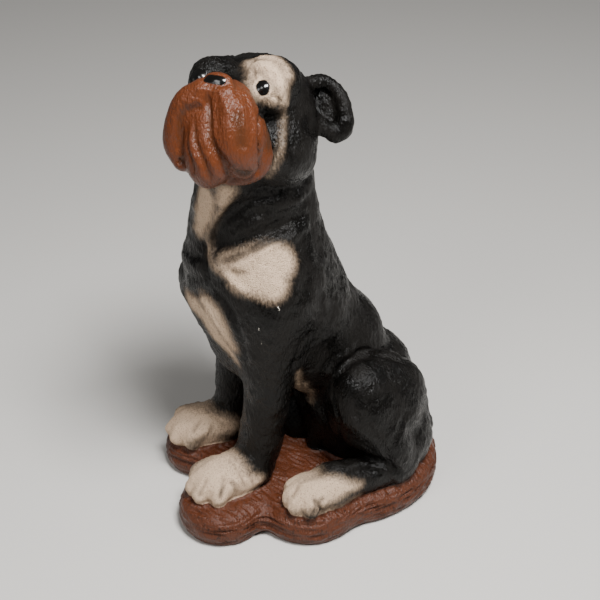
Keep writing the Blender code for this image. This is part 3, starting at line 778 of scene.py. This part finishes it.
# Chips where the pale primer shows
chips = [
    [(86, -76, 231, 0.7), (86, -74, 227, 0.8)],  # shoulder chip
    [(87, -72, 216, 0.5), (85, -73, 209, 0.9)],  # lower shoulder chip
    [(93, -56, 257, 0.6), (95, -56, 251, 0.5)],  # upper chip
]

pawSprays = [
    [(58, -134, 6, 34), (50, -106, 10, 36)],  # left front
    [(-58, -124, 6, 34), (-53, -96, 10, 34)],  # right front
    [(103, -44, 6, 30), (107, -14, 8, 28), (112, 18, 6, 14)],  # left hind
    [(-103, -44, 6, 30), (-107, -14, 8, 28), (-112, 18, 6, 14)],  # right hind
]

glossSpots = {
    "nose": ([(-6, -109, 19), (8, -108, 19)], 4.4),  # path in the head's own mm, radius
    "eye": ((33, -65, 19), 9.4),
}


# A path of sprayed paint, each point with the spray's radius
def spray(path, blend=1):
    return limb([step[:3] for step in path], [step[3] for step in path], blend)


# Points in the head's own left, back and up, in mm
def headFrame(points):
    return (points - np.array(dogForm["headMiddle"])) @ headSpin()


# How far inside the muzzle's paint each point is, in mm, negative outside it
def muzzleEdge(points):
    local = headFrame(points)
    across = np.abs(local[:, 0] - muzzlePaint["middle"][0])
    around = np.degrees(np.arctan2(across, local[:, 2] - muzzlePaint["middle"][1]))
    angles, depths = zip(*muzzlePaint["edge"])
    inside = np.interp(around, angles, depths) - local[:, 1]
    nearHead = np.linalg.norm(local - np.array(muzzlePaint["around"]), axis=1) < muzzlePaint["within"]
    return np.where(nearHead, np.clip(inside, -edgeReach, edgeReach), -edgeReach)


nosePath, noseSize = glossSpots["nose"]
eyeMiddle, eyeSize = glossSpots["eye"]
glossForms = [onHead(limb(nosePath, [noseSize] * len(nosePath)))]
glossForms += [onHead(form) for form in pair(egg(eyeMiddle, [eyeSize] * 3))]
creamSprays = [onHead(spray(path)) for path in headSprays] + [spray(path) for path in bodySprays]
creamSprays += [spray(path) for path in pawSprays]


# How far inside the nearest of some sprays each point is, in mm, negative outside them
def sprayEdge(sprays, points):
    inside = np.full(len(points), -edgeReach)
    for one in sprays:
        near = np.linalg.norm(points - one["middle"], axis=1) < one["reach"] + edgeReach
        if near.any():
            inside[near] = np.maximum(inside[near], -distanceTo(one, points[near]))
    return np.clip(inside, -edgeReach, edgeReach)


# Leaves on the skin how far inside each coat of paint it lies, in mm, for the material to read, and how deep
# the creases press in, which the material darkens as painted shade
def paintEdges(thing, forms):
    places = cornersOf(thing.data)
    points = drawnPoints(places)
    pastJoin = clayDistance(forms, points) - slabDistance(places) / unit
    pressed = pressedDepth([mark for mark in allCreases if mark["depth"] > 0], points)
    edges = {
        "slabEdge": np.clip(pastJoin, -edgeReach, edgeReach),
        "muzzleEdge": muzzleEdge(points),
        "creamEdge": sprayEdge(creamSprays, points),
        "chipEdge": sprayEdge([spray(path) for path in chips], points),
        "glossEdge": sprayEdge(glossForms, points),
        # crease depth, which the material reads to darken the creases: painted shade
        "creaseShade": np.clip(pressed, 0, 4),
    }
    for name, values in edges.items():
        layer = thing.data.attributes.new(name, "FLOAT", "POINT")
        layer.data.foreach_set("value", values.astype(np.float32))


# Moves the statue over the origin, where the casting stands, and says how far it was off
def standOverOrigin(thing):
    corners = cornersOf(thing.data)
    middle = (corners.min(axis=0) + corners.max(axis=0)) / 2
    thing.data.transform(Matrix.Translation((-middle[0], -middle[1], 0)))
    return middle


# Materials

def linear(hexColour):
    channels = [int(hexColour[i:i + 2], 16) / 255 for i in (1, 3, 5)]
    return [c / 12.92 if c <= 0.04045 else ((c + 0.055) / 1.055) ** 2.4 for c in channels] + [1.0]


# Adds one node and gives back one of its outputs. A setting is a field of the node's own, a value
# for one of its inputs, or another node's output that feeds that input.
def addNode(tree, kind, settings, output=0):
    node = tree.nodes.new(kind)
    for name, value in settings.items():
        if hasattr(value, "is_output"):
            tree.links.new(value, node.inputs[name])
        elif isinstance(name, int) or name in node.inputs:
            node.inputs[name].default_value = value
        else:
            setattr(node, name, value)
    return node.outputs[output]


# Masonry paint over cast concrete, brushed and sprayed by hand. The black dries to a broken gloss
# that glints on the stipple, the cream is a flat chalky spray, the red-browns are brushed on
# thick and keep their strokes.
# Coats lie in this order. A tint is a colour, the pattern that brings it out, between which of
# that pattern's values it comes in, and how much of the coat it hides at most. An edge is the mm
# it fades over, the mm it frays by and the pattern that frays it. What a coat doesn't give stays
# as it is below.
paintCoats = {
    "black": {
        "colour": "#080706",
        "tints": [("#12100E", "patch", 0.42, 0.62, 1.0)],
        "rough": 0.16,
        "weathered": 0.5,  # roughness where the gloss has gone dull
        "sheen": 0.15,
        "texture": "hair",
    },
    "cream": {
        "colour": "#C4AA90",
        # the near-black that deepens with crease depth is painted shade in the creases
        "tints": [("#7A6553", "stipple", 0.56, 0.70, 1.0), ("#0B0705", "creaseShade", 0.3, 2.6, 0.75)],
        "rough": 0.75,
        "sheen": 0.2,
        "texture": "stipple",
        "edge": (15, 5, "hair"),
        "thin": True,  # a thin spray over black still looks black
    },
    "muzzle": {
        "colour": "#542A15",
        # the darker brown that deepens with crease depth is painted shade in the creases
        "tints": [("#38200F", "creaseShade", 0.3, 2.6, 0.8), ("#38200F", "brush", 0.55, 0.8, 0.5)],
        "rough": 0.3,
        "sheen": 0.28,
        "texture": "brush",
        "edge": (1.2, 3, "fray"),
    },
    "slab": {
        "colour": "#4D2715",
        "tints": [("#24140D", "brush", 0.52, 0.75, 1.0)],
        "rough": 0.38,
        "sheen": 0.28,
        "texture": "brush",
        "edge": (1.0, 2.2, "fray"),
    },
    "chip": {  # the pale primer, where the black has come off
        "colour": "#D9D2C4",
        "tints": [],
        "edge": (0.4, 1.8, "stipple"),
    },
    "gloss": {  # eyes and nose, without any texture
        "colour": "#080706",
        "tints": [],
        "rough": 0.17,
        "sheen": 0.5,
        "texture": 0.5,
        "edge": (0.8, 0.4, "fray"),
    },
}
paintRelief = 0.0018  # metres that the paint's texture stands up

# mm across, stretch upwards, and how much finer detail
paintPatterns = {
    "hair": (2.0, 0.35, 3.0),  # a hair of the modelled coat
    "stipple": (1.1, 0.8, 2.0),  # the spray's grit, drawn as coarse as shows
    "brush": (2.2, 0.35, 3.0),  # bristle marks
    "patch": (30, 1, 2.0),  # slow change of gloss and colour
    "fray": (5, 1, 4.0),  # raggedness of a brushed edge
}


def paintedConcrete():
    material = bpy.data.materials.new("handPaintedConcrete")
    material.use_nodes = True
    tree = material.node_tree
    shader = tree.nodes["Principled BSDF"]

    place = addNode(tree, "ShaderNodeTexCoord", {}, "Object")
    # crease depth, which darkens the cream and muzzle colours as painted shade
    patterns = {"creaseShade": addNode(tree, "ShaderNodeAttribute", {"attribute_name": "creaseShade"}, "Fac")}
    for name, (size, stretch, detail) in paintPatterns.items():
        spread = addNode(
            tree, "ShaderNodeMapping", {"Vector": place, "Scale": (1, 1, stretch)}, "Vector")
        patterns[name] = addNode(
            tree, "ShaderNodeTexNoise",
            {"Vector": spread, "Scale": 1000 / size, "Detail": detail}, "Fac")

    looks = {}
    for name, coat in paintCoats.items():
        colour = linear(coat["colour"])
        for tint, pattern, low, high, most in coat["tints"]:
            hidden = addNode(
                tree, "ShaderNodeMapRange",
                {"Value": patterns[pattern], "From Min": low, "From Max": high, "To Max": most})
            colour = addNode(
                tree, "ShaderNodeMix",
                {"data_type": "RGBA", 0: hidden, 6: colour, 7: linear(tint)}, 2)
        rough = coat.get("rough")
        if "weathered" in coat:
            rough = addNode(
                tree, "ShaderNodeMapRange",
                {"Value": patterns["patch"], "From Min": 0.4, "From Max": 0.65,
                 "To Min": rough, "To Max": coat["weathered"]})
        texture = patterns.get(coat.get("texture"), coat.get("texture"))
        finish = {"rough": rough, "sheen": coat.get("sheen"), "texture": texture}
        if not looks:
            looks = {"colour": colour, **finish}
            continue

        # 0 outside and 1 inside the coat's edge, which its pattern frays
        feather, ragged, pattern = coat["edge"]
        inside = addNode(tree, "ShaderNodeAttribute", {"attribute_name": name + "Edge"}, "Fac")
        frayed = addNode(
            tree, "ShaderNodeMath",
            {"operation": "MULTIPLY_ADD", 0: patterns[pattern], 1: ragged * 2, 2: -ragged})
        frayed = addNode(tree, "ShaderNodeMath", {"operation": "ADD", 0: inside, 1: frayed})
        share = addNode(
            tree, "ShaderNodeMapRange",
            {"Value": frayed, "From Min": -feather / 2, "From Max": feather / 2})
        if coat.get("thin"):
            share = addNode(tree, "ShaderNodeMath", {"operation": "MULTIPLY", 0: share, 1: share})

        looks["colour"] = addNode(
            tree, "ShaderNodeMix",
            {"data_type": "RGBA", 0: share, 6: looks["colour"], 7: colour}, 2)
        for look, value in finish.items():
            if value is not None:
                looks[look] = addNode(
                    tree, "ShaderNodeMix",
                    {"data_type": "FLOAT", 0: share, 2: looks[look], 3: value})

    bump = addNode(
        tree, "ShaderNodeBump",
        {"Strength": 1.0, "Distance": paintRelief, "Height": looks["texture"]}, "Normal")
    tree.links.new(looks["colour"], shader.inputs["Base Color"])
    tree.links.new(looks["rough"], shader.inputs["Roughness"])
    tree.links.new(looks["sheen"], shader.inputs["Specular IOR Level"])
    tree.links.new(bump, shader.inputs["Normal"])
    return material


# Floor, lights and camera

studio = {
    "floor": "#C9C6C1",
    "floorSize": 6.0,
    "floorRough": 0.9,
    "skyStrength": 0.12,
    "cameraRound": 68,  # degrees from the dog's front towards its left
    "cameraLift": 32,  # degrees above level
    "cameraDistance": 1.45,
    "cameraLens": 79,
    "aimAt": (0.0105, -0.0035, 0.245),  # over the slab's own middle
    "lights": [
        # name, degrees round, degrees up, distance, size, watts
        ("key", 92, 62, 1.7, 0.5, 70),
        ("fill", 30, 38, 2.2, 0.8, 15),
        ("side", 140, 30, 2.2, 0.5, 6),
    ],
}


# A place round a target, and the turn that faces it
def standAt(around, up, distance, target):
    around, up = math.radians(around), math.radians(up)
    direction = Vector((math.sin(around) * math.cos(up), -math.cos(around) * math.cos(up), math.sin(up)))
    return target + direction * distance, direction.to_track_quat("Z", "Y")


def makeCamera(target):
    camera = bpy.data.objects.new("camera", bpy.data.cameras.new("camera"))
    camera.data.lens = studio["cameraLens"]
    camera.location, turn = standAt(
        studio["cameraRound"], studio["cameraLift"], studio["cameraDistance"], target)
    camera.rotation_euler = turn.to_euler()
    bpy.context.scene.collection.objects.link(camera)
    bpy.context.scene.camera = camera


def makeLights(target):
    for name, around, up, distance, size, watts in studio["lights"]:
        lamp = bpy.data.objects.new(name, bpy.data.lights.new(name, "AREA"))
        lamp.data.size = size
        lamp.data.energy = watts
        lamp.location, turn = standAt(around, up, distance, target)
        lamp.rotation_euler = turn.to_euler()
        bpy.context.scene.collection.objects.link(lamp)
    world = bpy.data.worlds.new("studio")
    world.use_nodes = True
    sky = world.node_tree.nodes["Background"]
    sky.inputs["Color"].default_value = (1, 1, 1, 1)
    sky.inputs["Strength"].default_value = studio["skyStrength"]
    bpy.context.scene.world = world


# Matt paper: pale and without any glint of its own
def palePaper():
    material = bpy.data.materials.new("palePaper")
    material.use_nodes = True
    shader = material.node_tree.nodes["Principled BSDF"]
    shader.inputs["Base Color"].default_value = linear(studio["floor"])
    shader.inputs["Roughness"].default_value = studio["floorRough"]
    return material


def makeFloor():
    mesh = bpy.data.meshes.new("floor")
    half = studio["floorSize"] / 2
    corners = [(-half, -half, 0), (half, -half, 0), (half, half, 0), (-half, half, 0)]
    mesh.from_pydata(corners, [], [(0, 1, 2, 3)])
    mesh.materials.append(palePaper())
    floor = bpy.data.objects.new("floor", mesh)
    bpy.context.scene.collection.objects.link(floor)


def makeStatue():
    forms = dog()
    thing = roughLumps(forms)
    joinClay(thing, skin["firstGrain"])
    settle(thing, forms, [], 6)
    print("clay joined")
    joinClay(thing, skin["fineGrain"])
    settle(thing, forms, allCreases, 5)
    workSurface(thing, forms)
    print("creases and tool marks pressed in")
    thin = thing.modifiers.new("fewer faces", "DECIMATE")
    thin.use_collapse_triangulate = True
    thin.ratio = min(1, skin["faces"] / (2 * len(thing.data.polygons)))
    applyModifiers(thing)
    cutUndersideFlat(thing)
    paintEdges(thing, forms)
    shift = standOverOrigin(thing)
    thing.data.materials.append(paintedConcrete())
    thing.data.shade_smooth()
    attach(thing, "root")
    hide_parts("bulldog_statue")
    print("statue painted,", len(thing.data.polygons), "faces")
    return shift


shift = makeStatue()
target = Vector(studio["aimAt"]) - Vector((shift[0], shift[1], 0))
makeCamera(target)
makeLights(target)
makeFloor()
print("studio lit")
